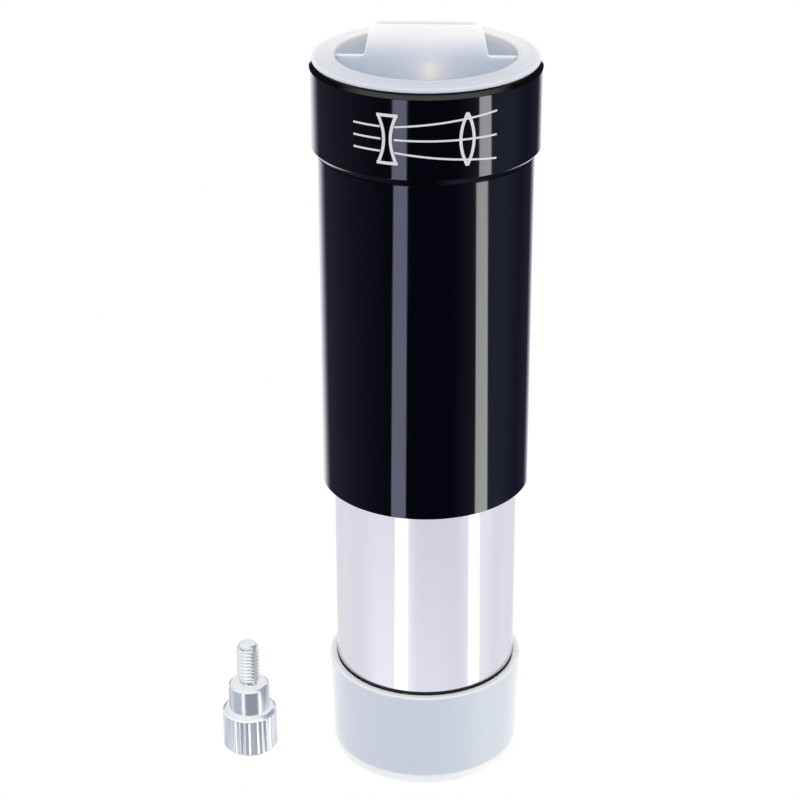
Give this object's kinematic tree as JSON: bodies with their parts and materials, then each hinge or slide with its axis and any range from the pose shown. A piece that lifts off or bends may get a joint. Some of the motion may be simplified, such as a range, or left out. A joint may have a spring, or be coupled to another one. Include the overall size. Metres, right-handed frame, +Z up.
{
  "type": "barlow lens",
  "caption": "Barlow lens with a chromed push-in nosepiece, a long black tube, a locking eyepiece collar with a loose thumbscrew, and a frosted dust cap on each end.",
  "frame": {"origin": "on the optical axis, at the underside of the lower dust cap that the object stands on", "axes": "+Z up along the optical axis, from the telescope end to the eyepiece end; -Y is the side with the print; the loose thumbscrew stands on the -X side"},
  "size_m": [0.0559, 0.038, 0.1352],
  "materials": {
    "frosted_cap": "frosted translucent polyethylene",
    "black_anodised": "gloss black anodised",
    "matt_black": "matt black",
    "nylon": "natural nylon",
    "coated_glass": "polished, multi-coated",
    "chrome": "polished chrome plating",
    "bright_aluminium": "turned, bright"
  },
  "bodies": {
    "lower_cap": {"bottom_cap": "frosted_cap"},
    "housing": {"nosepiece_barrel": "chrome", "barrel_baffle": "matt_black", "main_tube": "black_anodised", "tube_baffle": "matt_black", "eyepiece_stop": "matt_black", "eyepiece_collar": "black_anodised"},
    "optics": {"lens_cell": "black_anodised", "retaining_ring": "matt_black", "pressure_ring": "nylon", "front_lens": "coated_glass", "lens_spacer": "matt_black", "ed_lens": "coated_glass", "rear_lens": "coated_glass"},
    "upper_cap": {"top_cap": "frosted_cap"},
    "screw": {"thumbscrew": "bright_aluminium"}
  },
  "joints": [
    {"name": "cap_lift", "type": "slide", "parent": "lower_cap", "child": "housing", "axis": [0, 0, 1], "range_m": [0, 0.03]},
    {"name": "cell_turn", "type": "hinge", "parent": "housing", "child": "optics", "pos_m": [0, 0, 0.019], "axis": [0, 0, 1], "range_deg": [-1800, 0]},
    {"name": "top_cap_lift", "type": "slide", "parent": "housing", "child": "upper_cap", "axis": [0, 0, 1], "range_m": [0, 0.025]},
    {"name": "thumbscrew_lift", "type": "slide", "parent": "lower_cap", "child": "screw", "axis": [0, 0, 1], "range_m": [0, 0.04]}
  ]
}
